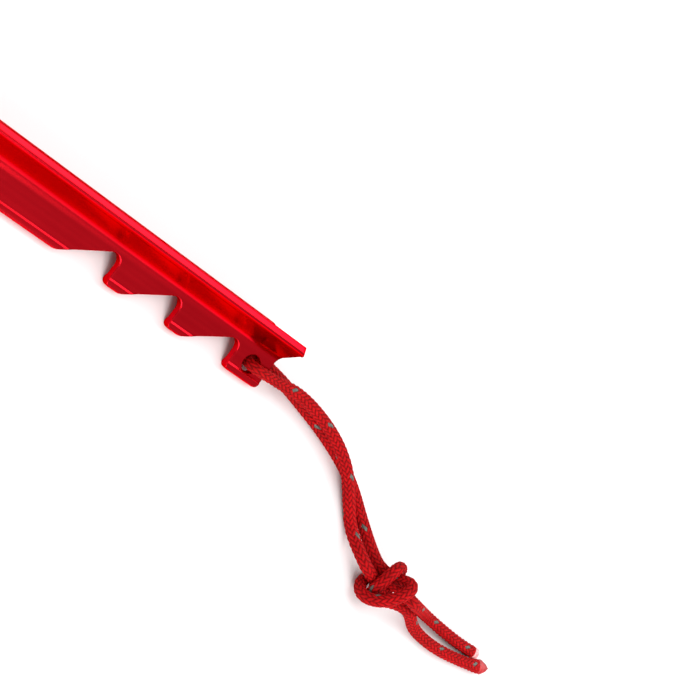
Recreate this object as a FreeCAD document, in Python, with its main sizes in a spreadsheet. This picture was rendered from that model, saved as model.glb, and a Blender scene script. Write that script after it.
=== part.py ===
import FreeCAD, Part
import math
import os

import Sketcher

# Tent stake: an extruded aluminium stake with three fins, one of them notched, and a
# short braided pull cord that runs through the hole in the stake's head.
#
# Frame: millimetres, +Z up. The stake lies on the ground on two of its fins, with its
# length along X, its head towards +X and its notched fin down towards -Y. The origin is
# on the ground under the middle of the stake.

doc = FreeCAD.newDocument("TentStake")

# ---------------------------------------------------------------------------------------
# Driving dimensions
# ---------------------------------------------------------------------------------------
DIMENSIONS = [
    # the extrusion
    ("overall_length", 180.0, "head end to point"),
    ("fin_count", 3, "fins around the axis"),
    ("fin_tilt", 30.0, "degrees, notched fin below the level"),
    ("fin_reach", 8.1, "axis to outer edge of a fin"),
    ("web_half", 0.82, "half the thickness of a fin"),
    ("bead_half", 0.97, "half the thickness of the bead along a fin's edge"),
    ("bead_width", 1.3, "bead, along the fin"),
    ("bead_blend", 0.35, "slope from the web to the bead, along the fin"),
    ("bead_corner", 0.6, "rounding of the bead"),
    ("root_radius", 2.5, "fillet between two fins"),
    # the two ends
    ("point_length", 34.0, "taper at the buried end"),
    ("point_reach", 1.0, "axis to fin edge at the very end"),
    ("head_corner", 1.2, "outer corner of each fin at the head end"),
    ("cutter_overrun", 2.0, "how far a cutter runs past the metal"),
    # the notches, measured from the head end
    ("first_notch", 9.6, "head end to the steep side of the first notch"),
    ("notch_pitch", 17.0, "notch to notch"),
    ("notch_count", 3, "notches"),
    ("notch_opening", 14.0, "steep side to the flat top beyond the ramp"),
    ("ramp_angle", 28.4, "degrees, ramp to stake axis"),
    ("notch_floor", 2.0, "rounding at the bottom of a notch"),
    ("hook_corner", 1.0, "rounding at the top of the steep side"),
    ("ramp_top", 2.0, "rounding at the top of the ramp"),
    # the cord hole
    ("hole_diameter", 4.0, "cord hole"),
    ("hole_setback", 4.6, "head end to the middle of the hole"),
    ("hole_on_fin", 4.5, "axis to the middle of the hole"),
    ("hole_edge", 0.2, "rounding at both mouths of the hole"),
    # the pull cord
    ("cord_diameter", 2.4, "cord, pulled tight"),
    ("knot_long", 15.8, "knot, along its long way"),
    ("knot_wide", 8.8, "knot, across its long way"),
    ("knot_high", 10.4, "knot, above the ground"),
    ("knot_turn", 35.0, "degrees, long way of the knot from the stake axis"),
    ("long_seal_length", 5.2, "melted end of the longer tail"),
    ("long_seal_tip", 1.2, "its diameter at the tip"),
    ("short_seal_length", 2.2, "melted end of the shorter tail"),
    ("short_seal_tip", 1.8, "its diameter at the tip"),
]

sheet = doc.addObject("Spreadsheet::Sheet", "Dimensions")
for row, (alias, number, note) in enumerate(DIMENSIONS, start=1):
    sheet.set("A%d" % row, note)
    sheet.set("B%d" % row, str(number))
    sheet.setAlias("B%d" % row, alias)
doc.recompute()


def size(alias):
    """A driving dimension as a number."""
    return float(sheet.get(alias))


def cell(alias):
    """The same dimension as an expression that stays bound to the sheet."""
    return "Dimensions." + alias


# ---------------------------------------------------------------------------------------
# Cord route: the corners of its centre line on the ground, chosen by hand
# ---------------------------------------------------------------------------------------
# From the knot along the upper leg, through the hole and back along the lower leg.
LOOP_ROUTE = [
    (136.6, -28.6, 3.6),
    (132.6, -26.0, 2.2),
    (127.6, -21.4, 1.3),
    (124.2, -16.0, 2.0),
    (119.4, -10.8, 3.5),
    (112.0, -6.4, 3.8),
    (101.6, -3.8, 3.8),
    (94.0, -4.5, 4.1),
    (89.2, -5.1, 4.6),
    (86.7, -5.2, 4.55),
    (85.3, -4.6, 3.4),
    (85.3, -3.2, 1.45),
    (86.7, -1.4, 1.25),
    (89.2, -1.2, 1.25),
    (94.0, -2.0, 1.25),
    (101.9, -3.8, 1.25),
    (112.6, -6.8, 1.25),
    (123.2, -11.4, 1.25),
    (131.2, -19.4, 1.7),
    (137.6, -26.0, 3.2),
]
LONG_TAIL_ROUTE = [
    (143.4, -29.4, 5.0),
    (149.4, -30.8, 2.6),
    (155.2, -33.0, 1.25),
    (163.0, -34.1, 1.25),
    (171.5, -33.7, 1.25),
    (179.2, -32.8, 1.25),
]
SHORT_TAIL_ROUTE = [
    (144.4, -26.8, 5.4),
    (150.6, -27.3, 3.6),
    (157.2, -28.7, 1.6),
    (164.2, -29.5, 1.25),
    (170.8, -30.1, 1.25),
    (176.6, -30.2, 1.25),
]
KNOT_CENTRE = (139.4, -29.3)
LONG_SEAL_END = (184.2, -31.6, 1.25)
SHORT_SEAL_END = (178.8, -30.1, 1.25)


# ---------------------------------------------------------------------------------------
# Helpers for sketches
# ---------------------------------------------------------------------------------------
def new_sketch(body, name, role):
    """An empty sketch on one of the body's own origin planes."""
    plane = next(f for f in body.Origin.OriginFeatures if f.Role == role)
    sketch = body.newObject("Sketcher::SketchObject", name)
    sketch.AttachmentSupport = [(plane, "")]
    sketch.MapMode = "FlatFace"
    return sketch


class Outline:
    """A closed outline of lines and arcs that is drawn corner by corner in a sketch."""

    def __init__(self, sketch, start):
        self.sketch = sketch
        self.place = start
        self.ends = []

    def _add(self, curve, target):
        index = self.sketch.addGeometry(curve, False)
        first = (self.sketch.getPoint(index, 1) - self.place).Length
        second = (self.sketch.getPoint(index, 2) - self.place).Length
        self.ends.append((index, 1, 2) if first < second else (index, 2, 1))
        self.place = target
        return index

    def line(self, target):
        return self._add(Part.LineSegment(self.place, target), target)

    def arc(self, target, centre):
        """The shorter arc about the centre from the last corner to the target."""
        chord = (self.place + target) * 0.5 - centre
        radius = (target - centre).Length
        middle = centre + chord.normalize() * radius
        return self._add(Part.Arc(self.place, middle, target), target)

    def close(self, smooth=()):
        """Join each piece to the next, tangent where the pair is listed as smooth."""
        for place, (index, _, end) in enumerate(self.ends):
            following, begin, _ = self.ends[(place + 1) % len(self.ends)]
            kind = "Tangent" if place in smooth else "Coincident"
            self.sketch.addConstraint(Sketcher.Constraint(kind, index, end, following, begin))

    def start_of(self, place):
        """The sketch's own name for the point where a piece starts."""
        index, begin, _ = self.ends[place]
        return index, begin


def bind(sketch, constraint, expression):
    """Add a sketch constraint and bind its value to the sheet."""
    index = sketch.addConstraint(constraint)
    sketch.setExpression("Constraints[%d]" % index, expression)


def bind_x(sketch, point, value, expression):
    """Distance of a point from the sketch's Y axis."""
    bind(sketch, Sketcher.Constraint("DistanceX", -1, 1, *point, value), expression)


def bind_y(sketch, point, value, expression):
    """Distance of a point from the sketch's X axis."""
    bind(sketch, Sketcher.Constraint("DistanceY", -1, 1, *point, value), expression)


def at(x, y):
    return FreeCAD.Vector(x, y, 0)


# ---------------------------------------------------------------------------------------
# Stake body: one extrusion with three fins
# ---------------------------------------------------------------------------------------
# It is drawn with its notched fin level and pointing to -Y, its axis on X and its head
# end at X = 0. Its Placement then rolls it onto two fins and lifts it onto the ground.
def draw_fin_section(body):
    """A thin web from the axis out to a bead with rounded corners."""
    sketch = new_sketch(body, "FinSection", "YZ_Plane")
    reach = size("fin_reach")
    web = size("web_half")
    bead = size("bead_half")
    corner = size("bead_corner")
    shoulder = reach - corner
    bead_start = reach - size("bead_width")
    blend_start = bead_start - size("bead_blend")

    outline = Outline(sketch, at(0, web))
    outline.line(at(-blend_start, web))
    outline.line(at(-bead_start, bead))
    outline.line(at(-shoulder, bead))
    upper_corner = outline.arc(at(-reach, bead - corner), at(-shoulder, bead - corner))
    outline.line(at(-reach, corner - bead))
    lower_corner = outline.arc(at(-shoulder, -bead), at(-shoulder, corner - bead))
    outline.line(at(-bead_start, -bead))
    outline.line(at(-blend_start, -web))
    outline.line(at(0, -web))
    outline.line(at(0, web))
    outline.close()

    reach_cell = cell("fin_reach")
    shoulder_cell = reach_cell + " - " + cell("bead_corner")
    bead_cell = reach_cell + " - " + cell("bead_width")
    blend_cell = bead_cell + " - " + cell("bead_blend")
    lip_cell = cell("bead_half") + " - " + cell("bead_corner")
    along = [
        (1, blend_start, blend_cell), (2, bead_start, bead_cell), (3, shoulder, shoulder_cell),
        (4, reach, reach_cell), (5, reach, reach_cell), (6, shoulder, shoulder_cell),
        (7, bead_start, bead_cell), (8, blend_start, blend_cell),
    ]
    across = [
        (0, web, cell("web_half")), (1, web, cell("web_half")),
        (2, bead, cell("bead_half")), (3, bead, cell("bead_half")),
        (4, bead - corner, lip_cell), (5, corner - bead, "-(" + lip_cell + ")"),
        (6, -bead, "-" + cell("bead_half")), (7, -bead, "-" + cell("bead_half")),
        (8, -web, "-" + cell("web_half")), (9, -web, "-" + cell("web_half")),
    ]
    for place, value, expression in along:
        bind_x(sketch, outline.start_of(place), -value, "-(" + expression + ")")
    for place, value, expression in across:
        bind_y(sketch, outline.start_of(place), value, expression)
    for place in (0, 9):
        sketch.addConstraint(Sketcher.Constraint("PointOnObject", *outline.start_of(place), -2))
    for index in (upper_corner, lower_corner):
        bind(sketch, Sketcher.Constraint("Radius", index, corner), cell("bead_corner"))
    return sketch


def draw_point(body):
    """What is turned away to leave the taper at the buried end."""
    sketch = new_sketch(body, "PointProfile", "XY_Plane")
    length = size("overall_length")
    shoulder = length - size("point_length")
    reach = size("fin_reach")
    tip = size("point_reach")
    over = size("cutter_overrun")
    outline = Outline(sketch, at(-shoulder, reach))
    outline.line(at(-length, tip))
    outline.line(at(-length - over, tip))
    outline.line(at(-length - over, reach + over))
    outline.line(at(-shoulder, reach + over))
    outline.line(at(-shoulder, reach))
    outline.close()
    length_cell = cell("overall_length")
    shoulder_cell = length_cell + " - " + cell("point_length")
    over_cell = length_cell + " + " + cell("cutter_overrun")
    outside_cell = cell("fin_reach") + " + " + cell("cutter_overrun")
    corners = [
        (-shoulder, shoulder_cell, reach, cell("fin_reach")),
        (-length, length_cell, tip, cell("point_reach")),
        (-length - over, over_cell, tip, cell("point_reach")),
        (-length - over, over_cell, reach + over, outside_cell),
        (-shoulder, shoulder_cell, reach + over, outside_cell),
    ]
    for place, (x, x_expression, y, y_expression) in enumerate(corners):
        bind_x(sketch, outline.start_of(place), x, "-(" + x_expression + ")")
        bind_y(sketch, outline.start_of(place), y, y_expression)
    return sketch


def draw_head_corner(body):
    """What is turned away to round the fins' outer corners at the head end."""
    sketch = new_sketch(body, "HeadCornerProfile", "XY_Plane")
    reach = size("fin_reach")
    corner = size("head_corner")
    over = size("cutter_overrun")
    outline = Outline(sketch, at(-corner, reach))
    rounding = outline.arc(at(0, reach - corner), at(-corner, reach - corner))
    outline.line(at(over, reach - corner))
    outline.line(at(over, reach + over))
    outline.line(at(-corner, reach + over))
    outline.line(at(-corner, reach))
    outline.close()
    corner_cell = cell("head_corner")
    reach_cell = cell("fin_reach")
    over_cell = cell("cutter_overrun")
    inner_cell = reach_cell + " - " + corner_cell
    outside_cell = reach_cell + " + " + over_cell
    corners = [
        (0, -corner, "-" + corner_cell, reach, reach_cell),
        (2, over, over_cell, reach - corner, inner_cell),
        (3, over, over_cell, reach + over, outside_cell),
        (4, -corner, "-" + corner_cell, reach + over, outside_cell),
    ]
    for place, x, x_expression, y, y_expression in corners:
        bind_x(sketch, outline.start_of(place), x, x_expression)
        bind_y(sketch, outline.start_of(place), y, y_expression)
    sketch.addConstraint(Sketcher.Constraint("PointOnObject", *outline.start_of(1), -2))
    bind_y(sketch, outline.start_of(1), reach - corner, inner_cell)
    bind(sketch, Sketcher.Constraint("Radius", rounding, corner), corner_cell)
    return sketch


def draw_notch(body):
    """A hooked notch: a steep side towards the head, a ramp towards the point."""
    sketch = new_sketch(body, "NotchProfile", "XY_Plane")
    reach = size("fin_reach")
    steep = size("first_notch")
    floor = size("notch_floor")
    hook = size("hook_corner")
    top = size("ramp_top")
    outside = reach + size("cutter_overrun")
    ramp = math.radians(size("ramp_angle"))
    ramp_start = steep + size("notch_opening")
    # where the ramp would meet the steep side if the notch had a sharp floor
    top_run = top * math.tan(ramp / 2)
    sharp_depth = reach - (size("notch_opening") - top_run) * math.tan(ramp)
    floor_run = floor / math.tan((math.pi / 2 - ramp) / 2)
    floor_centre = at(-(steep + floor), -(sharp_depth + floor_run))
    floor_on_ramp = at(
        -(steep + floor_run * math.cos(ramp)), -(sharp_depth + floor_run * math.sin(ramp))
    )
    ramp_end = at(
        -(ramp_start - top_run - top_run * math.cos(ramp)), -(reach - top_run * math.sin(ramp))
    )

    outline = Outline(sketch, at(-steep, -(sharp_depth + floor_run)))
    outline.line(at(-steep, -(reach - hook)))
    hook_arc = outline.arc(at(-(steep - hook), -reach), at(-(steep - hook), -(reach - hook)))
    outline.line(at(-(steep - hook), -outside))
    outline.line(at(-ramp_start, -outside))
    outline.line(at(-ramp_start, -reach))
    top_arc = outline.arc(ramp_end, at(-ramp_start, -(reach - top)))
    ramp_line = outline.line(floor_on_ramp)
    floor_arc = outline.arc(at(-steep, -(sharp_depth + floor_run)), floor_centre)
    outline.close(smooth=(0, 5, 6, 7))

    vertical = (0, 2, 4)
    for place in vertical:
        sketch.addConstraint(Sketcher.Constraint("Vertical", outline.ends[place][0]))
    sketch.addConstraint(Sketcher.Constraint("Horizontal", outline.ends[3][0]))
    bind(sketch, Sketcher.Constraint("Radius", hook_arc, hook), cell("hook_corner"))
    bind(sketch, Sketcher.Constraint("Radius", top_arc, top), cell("ramp_top"))
    bind(sketch, Sketcher.Constraint("Radius", floor_arc, floor), cell("notch_floor"))
    steep_cell = cell("first_notch")
    start_cell = steep_cell + " + " + cell("notch_opening")
    outside_cell = cell("fin_reach") + " + " + cell("cutter_overrun")
    bind_x(sketch, outline.start_of(0), -steep, "-" + steep_cell)
    bind_x(sketch, outline.start_of(5), -ramp_start, "-(" + start_cell + ")")
    bind_y(sketch, outline.start_of(3), -outside, "-(" + outside_cell + ")")
    for place in (2, 5):
        bind_y(sketch, outline.start_of(place), -reach, "-" + cell("fin_reach"))
    # both outer roundings start square to the fin's edge
    for arc, place in ((hook_arc, 2), (top_arc, 5)):
        sketch.addConstraint(Sketcher.Constraint("Vertical", arc, 3, *outline.start_of(place)))
    turn = cell("ramp_angle") + " * 1 deg"
    bind(sketch, Sketcher.Constraint("Angle", -1, 1, ramp_line, 1, ramp), turn)
    return sketch


def draw_hole(body):
    sketch = new_sketch(body, "HoleProfile", "XY_Plane")
    middle = at(-size("hole_setback"), -size("hole_on_fin"))
    radius = size("hole_diameter") / 2
    circle = sketch.addGeometry(Part.Circle(middle, FreeCAD.Vector(0, 0, 1), radius), False)
    bind_x(sketch, (circle, 3), middle.x, "-" + cell("hole_setback"))
    bind_y(sketch, (circle, 3), middle.y, "-" + cell("hole_on_fin"))
    bind(sketch, Sketcher.Constraint("Diameter", circle, 2 * radius), cell("hole_diameter"))
    return sketch


def turn_away(body, name, sketch):
    """Cut a profile away all round the stake's axis."""
    groove = body.newObject("PartDesign::Groove", name)
    groove.Profile = sketch
    groove.ReferenceAxis = (sketch, ["H_Axis"])
    groove.Angle = 360
    doc.recompute()
    return groove


def cut_through(body, name, sketch):
    """Cut a profile through the notched fin, half of it each way."""
    pocket = body.newObject("PartDesign::Pocket", name)
    pocket.Profile = sketch
    pocket.SideType = "Symmetric"
    pocket.setExpression("Length", "4 * " + cell("bead_half"))
    doc.recompute()
    return pocket


def round_edges(body, name, base, wanted, radius):
    """Fillet the edges of the last feature that the test picks."""
    names = ["Edge%d" % (i + 1) for i, edge in enumerate(base.Shape.Edges) if wanted(edge)]
    fillet = body.newObject("PartDesign::Fillet", name)
    fillet.Base = (base, names)
    fillet.setExpression("Radius", cell(radius))
    doc.recompute()
    return fillet


def is_root_edge(edge):
    """A long edge where two fins meet."""
    box = edge.BoundBox
    near_axis = max(abs(box.YMin), abs(box.ZMin)) < 2 * size("web_half")
    return box.XLength > size("overall_length") / 2 and near_axis


def is_hole_mouth(edge):
    """One of the two round mouths of the cord hole."""
    round_edge = isinstance(edge.Curve, Part.Circle)
    return round_edge and abs(edge.Curve.Radius - size("hole_diameter") / 2) < 1e-6


def make_stake_body():
    body = doc.addObject("PartDesign::Body", "StakeBody")
    body.Label = "stake_body"

    fin = body.newObject("PartDesign::Pad", "Fin")
    fin.Profile = draw_fin_section(body)
    fin.Reversed = True
    fin.setExpression("Length", cell("overall_length"))
    doc.recompute()

    fins = body.newObject("PartDesign::PolarPattern", "Fins")
    fins.Originals = [fin]
    fins.Axis = (fin.Profile[0], ["N_Axis"])
    fins.Angle = 360
    fins.setExpression("Occurrences", cell("fin_count"))
    body.Tip = fins
    doc.recompute()

    roots = round_edges(body, "Roots", fins, is_root_edge, "root_radius")
    turn_away(body, "Point", draw_point(body))
    turn_away(body, "HeadCorner", draw_head_corner(body))

    notch = cut_through(body, "Notch", draw_notch(body))
    notches = body.newObject("PartDesign::LinearPattern", "Notches")
    notches.Originals = [notch]
    notches.Direction = (notch.Profile[0], ["H_Axis"])
    notches.Reversed = True
    notches.Mode = "Spacing"
    notches.setExpression("Offset", cell("notch_pitch"))
    notches.setExpression("Occurrences", cell("notch_count"))
    body.Tip = notches
    doc.recompute()

    hole = cut_through(body, "CordHole", draw_hole(body))
    round_edges(body, "HoleMouths", hole, is_hole_mouth, "hole_edge")

    tilt = cell("fin_tilt") + " * 1 deg"
    edge_drop = "(" + cell("fin_reach") + " - " + cell("bead_corner") + ") * sin(" + tilt + ")"
    side_drop = "(" + cell("bead_half") + " - " + cell("bead_corner") + ") * cos(" + tilt + ")"
    lift = edge_drop + " + " + side_drop + " + " + cell("bead_corner")
    roll = FreeCAD.Rotation(FreeCAD.Vector(1, 0, 0), size("fin_tilt"))
    body.Placement = FreeCAD.Placement(FreeCAD.Vector(0, 0, 0), roll)
    body.setExpression("Placement.Base.x", cell("overall_length") + " / 2")
    body.setExpression("Placement.Base.z", lift)
    body.setExpression("Placement.Rotation.Angle", tilt)
    doc.recompute()
    return body


# ---------------------------------------------------------------------------------------
# Pull cord
# ---------------------------------------------------------------------------------------
# share of the shorter of its two runs that a bend takes up
BEND_SHARE = 0.45
# how a tube's section crosses from one run to the next
ROUNDED_TRANSITION = 2


def cord_wire(route, label):
    """Straight runs joined by tangent arcs, each as large as its two runs allow."""
    corners = [FreeCAD.Vector(*point) for point in route]
    edges = []
    radii = []
    last = corners[0]
    for before, corner, after in zip(corners, corners[1:], corners[2:]):
        back = (before - corner).normalize()
        ahead = (after - corner).normalize()
        turn = math.pi - back.getAngle(ahead)
        reach = BEND_SHARE * min((before - corner).Length, (after - corner).Length)
        radius = reach / math.tan(turn / 2)
        inward = (back + ahead).normalize()
        centre_distance = math.hypot(reach, radius)
        middle = corner + inward * (centre_distance - radius)
        arc_start = corner + back * reach
        arc_end = corner + ahead * reach
        edges.append(Part.LineSegment(last, arc_start).toShape())
        edges.append(Part.Arc(arc_start, middle, arc_end).toShape())
        last = arc_end
        radii.append(round(radius, 1))
    edges.append(Part.LineSegment(last, corners[-1]).toShape())
    wire = Part.Wire(edges)
    print(label, "length %.1f" % wire.Length, "radii", radii)
    return wire


def make_cord_tube(name, label, route):
    """A plain tube along the route."""
    radius = size("cord_diameter") / 2
    wire = cord_wire(route, label)
    start = FreeCAD.Vector(*route[0])
    direction = FreeCAD.Vector(*route[1]) - start
    ring = Part.Wire([Part.Circle(start, direction, radius).toShape()])
    tube = doc.addObject("Part::Feature", name)
    tube.Label = label
    solid = True
    frenet = False
    tube.Shape = wire.makePipeShell([ring], solid, frenet, ROUNDED_TRANSITION)
    expected = math.pi * radius ** 2 * wire.Length
    print(label, "volume", round(tube.Shape.Volume, 1), "section times length", round(expected, 1))
    return tube


def make_knot():
    """The doubled overhand knot as one closed lump that stands on the ground."""
    knot = doc.addObject("Part::Ellipsoid", "Knot")
    knot.Label = "cord_knot"
    knot.Angle1 = -90
    knot.Angle2 = 90
    knot.Angle3 = 360
    knot.setExpression("Radius1", cell("knot_high") + " / 2")
    knot.setExpression("Radius2", cell("knot_long") + " / 2")
    knot.setExpression("Radius3", cell("knot_wide") + " / 2")
    turn = FreeCAD.Rotation(FreeCAD.Vector(0, 0, 1), size("knot_turn"))
    knot.Placement = FreeCAD.Placement(FreeCAD.Vector(*KNOT_CENTRE, size("knot_high") / 2), turn)
    knot.setExpression("Placement.Base.z", cell("knot_high") + " / 2")
    knot.setExpression("Placement.Rotation.Angle", cell("knot_turn") + " * 1 deg")
    return knot


def make_seal(name, label, route, end, length, tip):
    """A melted end: a short cone from the cut cord to its tip."""
    seal = doc.addObject("Part::Cone", name)
    seal.Label = label
    seal.setExpression("Radius1", cell("cord_diameter") + " / 2")
    seal.setExpression("Radius2", cell(tip) + " / 2")
    seal.setExpression("Height", cell(length))
    start = FreeCAD.Vector(*route[-1])
    facing = FreeCAD.Rotation(FreeCAD.Vector(0, 0, 1), FreeCAD.Vector(*end) - start)
    seal.Placement = FreeCAD.Placement(start, facing)
    return seal


stake = make_stake_body()
SUB_PARTS = [
    stake,
    make_cord_tube("CordLoop", "cord_loop", LOOP_ROUTE),
    make_knot(),
    make_cord_tube("LongTail", "long_tail", LONG_TAIL_ROUTE),
    make_cord_tube("ShortTail", "short_tail", SHORT_TAIL_ROUTE),
    make_seal("LongSeal", "long_tail_melted_tip", LONG_TAIL_ROUTE, LONG_SEAL_END,
              "long_seal_length", "long_seal_tip"),
    make_seal("ShortSeal", "short_tail_melted_tip", SHORT_TAIL_ROUTE, SHORT_SEAL_END,
              "short_seal_length", "short_seal_tip"),
]
doc.recompute()

# ---------------------------------------------------------------------------------------
# Checks, then one file per sub-part
# ---------------------------------------------------------------------------------------
for item in doc.Objects:
    failed = [word for word in item.State if word in ("Invalid", "Error")]
    if failed:
        raise RuntimeError("%s is %s" % (item.Name, ", ".join(failed)))
for item in SUB_PARTS:
    if item.Shape.isNull() or not item.Shape.isValid():
        raise RuntimeError("%s has no valid shape" % item.Label)

os.makedirs("parts", exist_ok=True)
for item in SUB_PARTS:
    item.Shape.exportStep("parts/%s.step" % item.Label)
    print(item.Label, "volume", round(item.Shape.Volume, 2), item.Shape.BoundBox)
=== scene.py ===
import math

import bpy
import numpy as np
from mathutils import Matrix, Vector


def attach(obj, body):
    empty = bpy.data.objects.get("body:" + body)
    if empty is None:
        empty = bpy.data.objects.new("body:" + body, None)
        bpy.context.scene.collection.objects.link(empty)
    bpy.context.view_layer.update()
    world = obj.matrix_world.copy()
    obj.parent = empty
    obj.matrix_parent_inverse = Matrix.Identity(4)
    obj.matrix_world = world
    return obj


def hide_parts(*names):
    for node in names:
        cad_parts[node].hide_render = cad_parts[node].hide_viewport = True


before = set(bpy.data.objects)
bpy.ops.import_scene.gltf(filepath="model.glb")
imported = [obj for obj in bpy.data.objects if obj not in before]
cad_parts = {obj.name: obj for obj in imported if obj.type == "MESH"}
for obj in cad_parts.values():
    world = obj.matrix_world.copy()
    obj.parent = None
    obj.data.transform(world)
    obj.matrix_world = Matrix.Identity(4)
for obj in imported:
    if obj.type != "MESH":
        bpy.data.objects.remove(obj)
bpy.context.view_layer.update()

MM = 0.001
PULL_CORD = "pull_cord"


# ---------------------------------------------------------------------------------------
# Camera
# ---------------------------------------------------------------------------------------
CAMERA_PLACE = (-0.15567, -0.13752, 0.26096)
CAMERA_RIGHT = Vector((0.59361, 0.25662, 0.76274))
CAMERA_UP = Vector((-0.45028, 0.89146, 0.05051))
LENS = 99.07
SENSOR_WIDTH = 36.0
CLIP_START = 0.01


def add_camera():
    data = bpy.data.cameras.new("camera")
    data.lens = LENS
    data.sensor_width = SENSOR_WIDTH
    data.clip_start = CLIP_START
    camera = bpy.data.objects.new("camera", data)
    bpy.context.collection.objects.link(camera)
    back = CAMERA_RIGHT.cross(CAMERA_UP)
    turn = Matrix((CAMERA_RIGHT, CAMERA_UP, back)).transposed().to_4x4()
    camera.matrix_world = Matrix.Translation(CAMERA_PLACE) @ turn
    bpy.context.scene.camera = camera


add_camera()


# ---------------------------------------------------------------------------------------
# Node helpers
# ---------------------------------------------------------------------------------------
class Nodes:
    """Short names for building one material's node tree."""

    def __init__(self, name):
        self.material = bpy.data.materials.new(name)
        self.material.use_nodes = True
        self.tree = self.material.node_tree
        self.shader = self.tree.nodes["Principled BSDF"]

    def add(self, kind, **settings):
        node = self.tree.nodes.new(kind)
        for key, value in settings.items():
            setattr(node, key, value)
        return node

    def link(self, out, into):
        self.tree.links.new(out, into)

    def set(self, **values):
        for key, value in values.items():
            self.shader.inputs[key.replace("_", " ")].default_value = value

    def object_place(self, scale):
        """Object coordinates, stretched by a scale for each axis."""
        place = self.add("ShaderNodeTexCoord")
        mapping = self.add("ShaderNodeMapping")
        mapping.inputs["Scale"].default_value = scale
        self.link(place.outputs["Object"], mapping.inputs["Vector"])
        return mapping.outputs["Vector"]

    def noise(self, vector, scale=1.0, detail=2.0, roughness=0.5):
        node = self.add("ShaderNodeTexNoise")
        node.inputs["Scale"].default_value = scale
        node.inputs["Detail"].default_value = detail
        node.inputs["Roughness"].default_value = roughness
        self.link(vector, node.inputs["Vector"])
        return node.outputs["Fac"]

    def ramp(self, value, *stops):
        node = self.add("ShaderNodeValToRGB")
        elements = node.color_ramp.elements
        while len(elements) < len(stops):
            elements.new(0.5)
        for element, (place, colour) in zip(elements, stops):
            element.position = place
            element.color = (*colour, 1.0)
        self.link(value, node.inputs["Fac"])
        return node.outputs["Color"]

    def span(self, value, low, high):
        node = self.add("ShaderNodeMapRange")
        node.inputs["To Min"].default_value = low
        node.inputs["To Max"].default_value = high
        self.link(value, node.inputs["Value"])
        return node.outputs["Result"]

    def mix(self, factor, first, second, blend="MIX"):
        node = self.add("ShaderNodeMix", data_type="RGBA", blend_type=blend)
        for value, name in ((factor, 0), (first, 6), (second, 7)):
            if isinstance(value, (int, float)):
                node.inputs[name].default_value = value
            elif isinstance(value, tuple):
                node.inputs[name].default_value = (*value, 1.0)
            else:
                self.link(value, node.inputs[name])
        return node.outputs[2]

    def bump(self, height, distance, strength=1.0, normal=None):
        node = self.add("ShaderNodeBump")
        node.inputs["Distance"].default_value = distance
        node.inputs["Strength"].default_value = strength
        self.link(height, node.inputs["Height"])
        if normal is not None:
            self.link(normal, node.inputs["Normal"])
        return node.outputs["Normal"]


# ---------------------------------------------------------------------------------------
# Materials
# ---------------------------------------------------------------------------------------
def anodised_metal():
    """Red anodised aluminium with fine die lines along the extrusion."""
    m = Nodes("anodised_red")
    die_lines = m.noise(m.object_place((9.0, 5200.0, 5200.0)), detail=3.0, roughness=0.6)
    broad_lines = m.noise(m.object_place((3.0, 900.0, 900.0)), detail=2.0)
    patches = m.noise(m.object_place((60.0, 160.0, 160.0)), detail=3.0)
    grain = m.noise(m.object_place((5200.0, 5200.0, 5200.0)), detail=2.0)
    tone = m.ramp(broad_lines, (0.30, (0.70, 0.007, 0.016)), (0.75, (0.78, 0.010, 0.020)))
    worn = m.ramp(patches, (0.35, (0.88, 0.88, 0.88)), (0.75, (1.0, 1.0, 1.0)))
    m.link(m.mix(1.0, tone, worn, "MULTIPLY"), m.shader.inputs["Base Color"])
    m.link(m.span(die_lines, 0.15, 0.27), m.shader.inputs["Roughness"])
    m.set(Metallic=1.0, Specular_Tint=(0.9, 0.06, 0.09, 1.0))
    edges = m.add("ShaderNodeBevel", samples=6)
    edges.inputs["Radius"].default_value = 0.25 * MM
    lined = m.bump(die_lines, 0.005 * MM, 0.5, edges.outputs["Normal"])
    m.link(m.bump(grain, 0.004 * MM, 0.5, lined), m.shader.inputs["Normal"])
    return m.material


def red_yarn():
    """Braided polyester: filaments along each yarn, a little tone from yarn to yarn, and
    painted shade in the gaps between yarns.
    """
    m = Nodes("red_yarn")
    layout = m.add("ShaderNodeUVMap", uv_map="yarn")
    filaments = m.add("ShaderNodeMapping")
    filaments.inputs["Scale"].default_value = (7.0, 0.8, 1.0)
    m.link(layout.outputs["UV"], filaments.inputs["Vector"])
    lines = m.noise(filaments.outputs["Vector"], scale=2.0, detail=2.0, roughness=0.6)
    cloudy = m.noise(m.object_place((420.0, 420.0, 420.0)), detail=3.0)
    tone = m.ramp(lines, (0.25, (0.34, 0.001, 0.002)), (0.70, (0.68, 0.003, 0.006)))
    shade = m.ramp(cloudy, (0.35, (0.78, 0.78, 0.78)), (0.70, (1.0, 1.0, 1.0)))
    relief = m.add("ShaderNodeAttribute", attribute_name="relief")
    # painted shade: the base colour darkens in the low gaps between yarns, read from the relief
    # height
    painted_gap_shade = m.ramp(relief.outputs["Fac"], (0.25, (0.18, 0.06, 0.07)), (0.85, (1.0, 1.0, 1.0)))
    body = m.mix(1.0, tone, shade, "MULTIPLY")
    m.link(m.mix(1.0, body, painted_gap_shade, "MULTIPLY"), m.shader.inputs["Base Color"])
    m.set(Roughness=0.75, Specular_IOR_Level=0.10)
    m.link(m.bump(lines, 0.05 * MM, 0.7), m.shader.inputs["Normal"])
    return m.material


def tracer_yarn():
    """The reflective tracer: grey-green glass-beaded yarn."""
    m = Nodes("tracer_yarn")
    layout = m.add("ShaderNodeUVMap", uv_map="yarn")
    beads = m.noise(layout.outputs["UV"], scale=9.0, detail=2.0)
    tone = m.ramp(beads, (0.30, (0.035, 0.038, 0.032)), (0.72, (0.16, 0.165, 0.14)))
    m.link(tone, m.shader.inputs["Base Color"])
    m.set(Roughness=0.38, Metallic=0.35)
    m.link(m.bump(beads, 0.03 * MM, 0.8), m.shader.inputs["Normal"])
    return m.material


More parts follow.
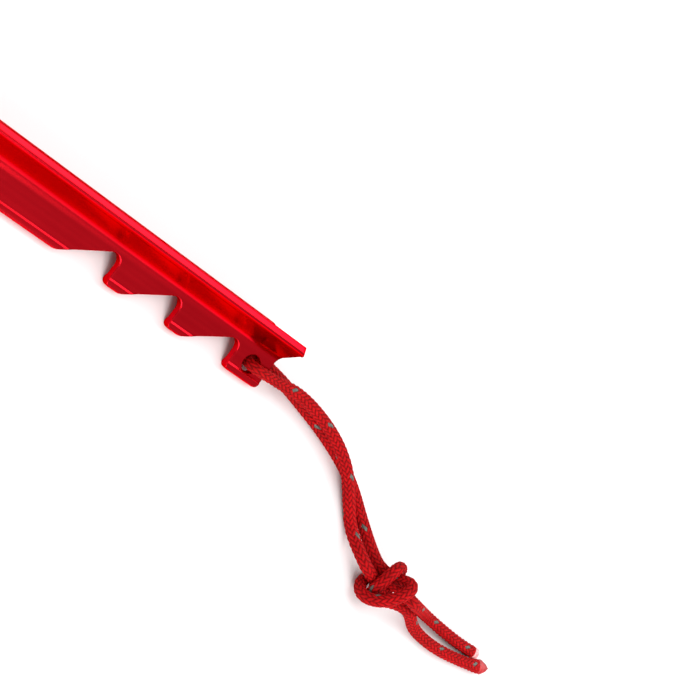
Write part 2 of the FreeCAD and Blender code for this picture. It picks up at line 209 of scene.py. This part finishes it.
def melted_yarn(name, dark, light):
    """Polyester that has run together and set again."""
    m = Nodes(name)
    runs = m.noise(m.object_place((900.0, 900.0, 900.0)), detail=4.0)
    m.link(m.ramp(runs, (0.32, dark), (0.68, light)), m.shader.inputs["Base Color"])
    m.link(m.span(runs, 0.30, 0.55), m.shader.inputs["Roughness"])
    m.link(m.bump(runs, 0.08 * MM, 0.7), m.shader.inputs["Normal"])
    return m.material


METAL = anodised_metal()
YARN = red_yarn()
TRACER = tracer_yarn()
MELTED_RED = melted_yarn("melted_red", (0.30, 0.002, 0.004), (0.60, 0.008, 0.014))
MELTED_CORE = melted_yarn("melted_core", (0.60, 0.10, 0.12), (0.88, 0.58, 0.56))

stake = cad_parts["stake_body"]
stake.data.materials.clear()
stake.data.materials.append(METAL)


# ---------------------------------------------------------------------------------------
# Cord routes, in metres
# ---------------------------------------------------------------------------------------
# From the middle of the hole, along one leg, through the knot and along one tail.
UPPER_LEG = [
    (0.0853, -0.0039, 0.0024),
    (0.0853, -0.0046, 0.0034),
    (0.0867, -0.0052, 0.00455),
    (0.0892, -0.0051, 0.0046),
    (0.0940, -0.0045, 0.0041),
    (0.1016, -0.0038, 0.0038),
    (0.1120, -0.0064, 0.0038),
    (0.1194, -0.0108, 0.0035),
    (0.1242, -0.0160, 0.0020),
    (0.1276, -0.0214, 0.0014),
]
LOWER_LEG = [
    (0.0853, -0.0039, 0.0024),
    (0.0853, -0.0032, 0.00145),
    (0.0867, -0.0014, 0.00135),
    (0.0892, -0.0012, 0.00140),
    (0.0940, -0.0020, 0.00140),
    (0.1019, -0.0038, 0.00140),
    (0.1126, -0.0068, 0.00140),
    (0.1232, -0.0114, 0.00140),
    (0.1312, -0.0194, 0.0017),
]
LONG_TAIL = [
    (0.1552, -0.0330, 0.0014),
    (0.1630, -0.0341, 0.0014),
    (0.1715, -0.0337, 0.0014),
    (0.1792, -0.0328, 0.0014),
    (0.1842, -0.0316, 0.0014),
]
SHORT_TAIL = [
    (0.1572, -0.0287, 0.0016),
    (0.1642, -0.0295, 0.0014),
    (0.1708, -0.0301, 0.0014),
    (0.1766, -0.0302, 0.0014),
    (0.1788, -0.0301, 0.0014),
]
# Both knot lists were moved apart by a program and rounded to 0.1 mm. From the camera the
# strands wrap like a doubled overhand knot, but neither one is knotted on its own.
# This one goes in low, up round the far side, over the top and out low on the near side.
KNOT_UPPER = [
    (0.1311, -0.0274, 0.0045),
    (0.1351, -0.0288, 0.0040),
    (0.1389, -0.0299, 0.0033),
    (0.1418, -0.0296, 0.0027),
    (0.1430, -0.0278, 0.0030),
    (0.1425, -0.0258, 0.0046),
    (0.1405, -0.0248, 0.0068),
    (0.1381, -0.0256, 0.0080),
    (0.1365, -0.0281, 0.0075),
    (0.1359, -0.0305, 0.0059),
    (0.1363, -0.0318, 0.0040),
    (0.1377, -0.0324, 0.0030),
    (0.1401, -0.0322, 0.0033),
    (0.1429, -0.0315, 0.0040),
    (0.1458, -0.0312, 0.0047),
    (0.1489, -0.0316, 0.0049),
]
# This one climbs to the top, comes down the near side, runs along the ground and climbs out.
KNOT_LOWER = [
    (0.1359, -0.0252, 0.0033),
    (0.1376, -0.0266, 0.0047),
    (0.1392, -0.0276, 0.0063),
    (0.1404, -0.0277, 0.0084),
    (0.1409, -0.0282, 0.0103),
    (0.1405, -0.0297, 0.0108),
    (0.1391, -0.0317, 0.0098),
    (0.1372, -0.0335, 0.0078),
    (0.1352, -0.0340, 0.0052),
    (0.1343, -0.0328, 0.0028),
    (0.1350, -0.0303, 0.0014),
    (0.1369, -0.0280, 0.0014),
    (0.1391, -0.0271, 0.0029),
    (0.1412, -0.0280, 0.0050),
    (0.1432, -0.0295, 0.0070),
    (0.1453, -0.0312, 0.0090),
]

CORD_WIDTH = 2.78 * MM
# yarns in each direction round the braid, and the length of one turn of a yarn
YARNS = 10
YARN_TURN = 13.0 * MM
YARN_RELIEF = 0.26 * MM
ROUND_STEPS = 96
ALONG_STEP = 0.17 * MM
# a yarn goes over two of the yarns that it crosses and then under two
FLOAT_SPAN = 2
BRAID_REPEAT = 4
# how high a float still is at its two ends, as a share of its middle
FLOAT_END_HEIGHT = 0.55
# keeps the filaments of the two lays of yarn apart in the texture
LAY_OFFSET = 40.0
# the tracer yarn comes up on one float in this many
TRACER_EVERY = 3
# no tracer float shows this close to the middle of the hole
TRACER_START = 8.0 * MM
# the yarns start to run together this many melted lengths from the end
MELT_START = 1.5
MELTED_HEIGHT = 0.75
LONG_TAIL_MELTED = 4.0 * MM
SHORT_TAIL_MELTED = 1.8 * MM
# the smooth line of a cord takes this many points for each span of its route
ROUTE_RESOLUTION = 24
SAME_PLACE = 1e-7
YARN_SLOT = 0
TRACER_SLOT = 1
MELTED_SLOT = 2

# widths as shares of the cord's own, at distances in millimetres
SQUEEZE_AT = (0.0, 7.0, 13.0)
SQUEEZE = (0.84, 0.84, 1.0)
LONG_END_AT = (0.0, 1.2, 3.0, 5.5, 8.0)
LONG_END_WIDE = (0.10, 0.75, 1.28, 1.15, 1.0)
LONG_END_THICK = (0.12, 0.45, 0.62, 0.85, 1.0)
SHORT_END_AT = (0.0, 0.5, 1.4, 3.0)
SHORT_END_WIDE = (0.60, 0.96, 1.08, 1.0)


def route_curve(name, route):
    """The cord's own smooth line."""
    data = bpy.data.curves.new(name, "CURVE")
    data.dimensions = "3D"
    data.resolution_u = ROUTE_RESOLUTION
    spline = data.splines.new("NURBS")
    spline.points.add(len(route) - 1)
    for point, place in zip(spline.points, route):
        point.co = (*place, 1.0)
    spline.order_u = 3
    spline.use_endpoint_u = True
    return bpy.data.objects.new(name, data)


def line_of(curve):
    """Points along the smooth line, an even step apart."""
    mesh = bpy.data.meshes.new_from_object(curve)
    points = np.array([v.co[:] for v in mesh.vertices])
    bpy.data.meshes.remove(mesh)
    runs = np.linalg.norm(np.diff(points, axis=0), axis=1)
    keep = np.concatenate(([True], runs > SAME_PLACE))
    points = points[keep]
    along = np.concatenate(([0.0], np.cumsum(np.linalg.norm(np.diff(points, axis=0), axis=1))))
    steps = int(along[-1] / ALONG_STEP)
    places = np.linspace(0.0, along[-1], steps + 1)
    even = np.stack([np.interp(places, along, points[:, k]) for k in range(3)], axis=1)
    return even, places


def carried_frame(points):
    """Two directions across the line that turn with it and don't spin about it."""
    ahead = np.gradient(points, axis=0)
    ahead /= np.linalg.norm(ahead, axis=1)[:, None]
    side = np.cross(ahead[0], (0.0, 0.0, 1.0))
    side /= np.linalg.norm(side)
    sides = [side]
    for direction in ahead[1:]:
        side = side - direction * side.dot(direction)
        side = side / np.linalg.norm(side)
        sides.append(side)
    sides = np.array(sides)
    return sides, np.cross(sides, ahead)


def braid(around, along):
    """Height from 0 to 1, the top yarn, the yarn that it crosses, and which lay is on top."""
    right = YARNS * (around - along / YARN_TURN)
    left = YARNS * (around + along / YARN_TURN)
    right_yarn = np.floor(right)
    left_yarn = np.floor(left)
    over = np.mod(right_yarn + left_yarn, BRAID_REPEAT) < FLOAT_SPAN
    yarn = np.where(over, right, left)
    other = np.where(over, left, right)
    across = yarn - np.floor(yarn) - 0.5
    # how far along its float the top yarn is, from 0 to FLOAT_SPAN
    run = np.mod(other + np.floor(yarn), BRAID_REPEAT)
    run = np.where(over, run, run - FLOAT_SPAN)
    from_middle = np.clip(np.abs(run - FLOAT_SPAN / 2), 0.0, 1.0)
    crown = np.sqrt(np.clip(1.0 - (2.0 * across) ** 2, 0.0, 1.0))
    arch = np.cos(from_middle * math.pi / 2)
    height = crown * (FLOAT_END_HEIGHT + (1.0 - FLOAT_END_HEIGHT) * arch)
    return height, yarn, other, over


def cord_mesh(name, points, places, girth, melted, melted_length):
    """The braid as a closed tube of small yarns along the line, melted at its far end."""
    sides, ups = carried_frame(points)
    rings = len(points)
    turn = np.arange(ROUND_STEPS + 1) / ROUND_STEPS
    around, along = np.meshgrid(turn, places)
    height, _, _, _ = braid(around, along)
    # the yarns run together towards the melted end
    past_start = places - places[-1] + MELT_START * melted_length
    set_share = np.clip(past_start / melted_length, 0.0, 1.0)
    height = height + (MELTED_HEIGHT - height) * set_share[:, None]
    wide, thick = girth(places)
    radius = CORD_WIDTH / 2 - YARN_RELIEF * (1.0 - height)
    angle = around * 2 * math.pi
    offset = (
        sides[:, None, :] * (radius * np.cos(angle))[:, :, None]
        + ups[:, None, :] * (radius * np.sin(angle))[:, :, None]
    )
    offset[:, :, :2] *= wide[:, None, None]
    offset[:, :, 2] *= thick[:, None]
    vertices = (points[:, None, :] + offset)[:, :ROUND_STEPS]
    first = np.arange(rings - 1)[:, None] * ROUND_STEPS
    here = np.arange(ROUND_STEPS)[None, :]
    there = (here + 1) % ROUND_STEPS
    quads = np.stack(
        (first + here, first + there, first + ROUND_STEPS + there, first + ROUND_STEPS + here),
        axis=2,
    ).reshape(-1, 4)

    mesh = bpy.data.meshes.new(name)
    start = list(range(ROUND_STEPS))[::-1]
    end = [(rings - 1) * ROUND_STEPS + k for k in range(ROUND_STEPS)]
    faces = quads.tolist() + [start, end]
    mesh.from_pydata(vertices.reshape(-1, 3).tolist(), [], faces)
    mesh.materials.append(YARN)
    mesh.materials.append(TRACER)
    mesh.materials.append(melted)
    # the height of the yarns, which the yarn material reads to paint shade into the gaps
    # between them
    relief = mesh.attributes.new("relief", "FLOAT", "POINT")
    relief.data.foreach_set("value", height[:, :ROUND_STEPS].reshape(-1).astype(np.float32))

    # each face takes its yarn from its own middle
    middle_around, middle_along = np.meshgrid(
        turn[:-1] + 0.5 / ROUND_STEPS, (places[:-1] + places[1:]) / 2
    )
    _, face_yarn, face_other, face_over = braid(middle_around, middle_along)
    number = np.floor(face_yarn).astype(int) % YARNS
    float_number = np.floor((face_other + np.floor(face_yarn)) / BRAID_REPEAT).astype(int)
    is_tracer = face_over & (number == 0) & (float_number % TRACER_EVERY == 0)
    is_tracer &= middle_along > TRACER_START
    is_melted = middle_along > places[-1] - melted_length
    index = np.where(is_tracer, TRACER_SLOT, YARN_SLOT)
    index = np.where(is_melted, MELTED_SLOT, index).reshape(-1)
    index = np.concatenate((index, (YARN_SLOT, MELTED_SLOT))).astype(np.int32)
    mesh.polygons.foreach_set("material_index", index)

    layout = mesh.uv_layers.new(name="yarn")
    base = np.stack((np.where(face_over, 0.0, LAY_OFFSET) + face_yarn, face_other), axis=2)
    slope = YARNS / ROUND_STEPS / 2
    rise = YARNS * ALONG_STEP / YARN_TURN / 2
    corners = []
    for sx, sy in ((-1, -1), (1, -1), (1, 1), (-1, 1)):
        direction = np.where(face_over, -1.0, 1.0)
        u = base[:, :, 0] + sx * slope + sy * rise * direction
        v = base[:, :, 1] + sx * slope - sy * rise * direction
        corners.append(np.stack((u, v), axis=2))
    values = np.stack(corners, axis=2).reshape(-1, 2)
    values = np.concatenate((values, np.zeros((2 * ROUND_STEPS, 2))))
    layout.data.foreach_set("uv", values.reshape(-1))
    mesh.shade_smooth()
    mesh.update()
    piece = bpy.data.objects.new(name, mesh)
    bpy.context.collection.objects.link(piece)
    return piece


def squeezed(places):
    """The cord is squeezed where it folds through the hole."""
    return np.interp(places / MM, SQUEEZE_AT, SQUEEZE)


def long_tail_girth(places):
    """Pressed flat and drawn to a point where the end was melted."""
    left = (places[-1] - places) / MM
    wide = np.interp(left, LONG_END_AT, LONG_END_WIDE)
    thick = np.interp(left, LONG_END_AT, LONG_END_THICK)
    return wide * squeezed(places), thick * squeezed(places)


def short_tail_girth(places):
    """Cut square and sealed: a little wider, then rounded over."""
    left = (places[-1] - places) / MM
    wide = np.interp(left, SHORT_END_AT, SHORT_END_WIDE)
    thick = np.minimum(wide, 1.0)
    return wide * squeezed(places), thick * squeezed(places)


def make_cord(name, route, girth, melted, melted_length):
    curve = route_curve(name + "_route", route)
    points, places = line_of(curve)
    bpy.data.objects.remove(curve)
    return cord_mesh(name, points, places, girth, melted, melted_length), points


upper_cord, upper_line = make_cord(
    "upper_leg_and_long_tail",
    UPPER_LEG + KNOT_UPPER + LONG_TAIL,
    long_tail_girth,
    MELTED_RED,
    LONG_TAIL_MELTED,
)
lower_cord, lower_line = make_cord(
    "lower_leg_and_short_tail",
    LOWER_LEG + KNOT_LOWER + SHORT_TAIL,
    short_tail_girth,
    MELTED_CORE,
    SHORT_TAIL_MELTED,
)
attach(upper_cord, PULL_CORD)
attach(lower_cord, PULL_CORD)
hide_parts("cord_loop", "cord_knot", "long_tail", "long_tail_melted_tip")
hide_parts("cord_loop", "cord_knot", "short_tail", "short_tail_melted_tip")


# ---------------------------------------------------------------------------------------
# Floor and lights
# ---------------------------------------------------------------------------------------
FLOOR_HALF = 3.0
FLOOR_COLOUR = (0.93, 0.93, 0.93)
WORLD_STRENGTH = 0.50
SUBJECT = (0.10, -0.015, 0.005)


def add_floor():
    mesh = bpy.data.meshes.new("floor")
    half = FLOOR_HALF
    corners = [(-half, -half, 0), (half, -half, 0), (half, half, 0), (-half, half, 0)]
    mesh.from_pydata(corners, [], [(0, 1, 2, 3)])
    m = Nodes("pale_floor")
    m.set(Roughness=0.9)
    m.shader.inputs["Base Color"].default_value = (*FLOOR_COLOUR, 1.0)
    mesh.materials.append(m.material)
    floor = bpy.data.objects.new("floor", mesh)
    bpy.context.collection.objects.link(floor)


def add_light(name, place, size, power):
    """A square soft light aimed at the subject."""
    data = bpy.data.lights.new(name, "AREA")
    data.shape = "RECTANGLE"
    data.size = size
    data.size_y = size
    data.energy = power
    light = bpy.data.objects.new(name, data)
    light.location = place
    aim = Vector(SUBJECT) - Vector(place)
    light.rotation_euler = aim.to_track_quat("-Z", "Y").to_euler()
    bpy.context.collection.objects.link(light)


def add_world(strength):
    world = bpy.data.worlds.new("studio")
    world.use_nodes = True
    background = world.node_tree.nodes["Background"]
    background.inputs["Color"].default_value = (1.0, 1.0, 1.0, 1.0)
    background.inputs["Strength"].default_value = strength
    bpy.context.scene.world = world


bpy.context.scene.view_settings.view_transform = "Standard"
add_floor()
add_light("key", (0.15, -0.75, 0.45), size=0.5, power=6.0)
add_light("fill", (-0.45, 0.55, 0.55), size=0.6, power=2.0)
add_light("back", (0.77, 0.36, 0.65), size=0.7, power=5.5)
add_light("top", (0.10, 0.0, 1.0), size=0.9, power=3.0)
add_world(WORLD_STRENGTH)
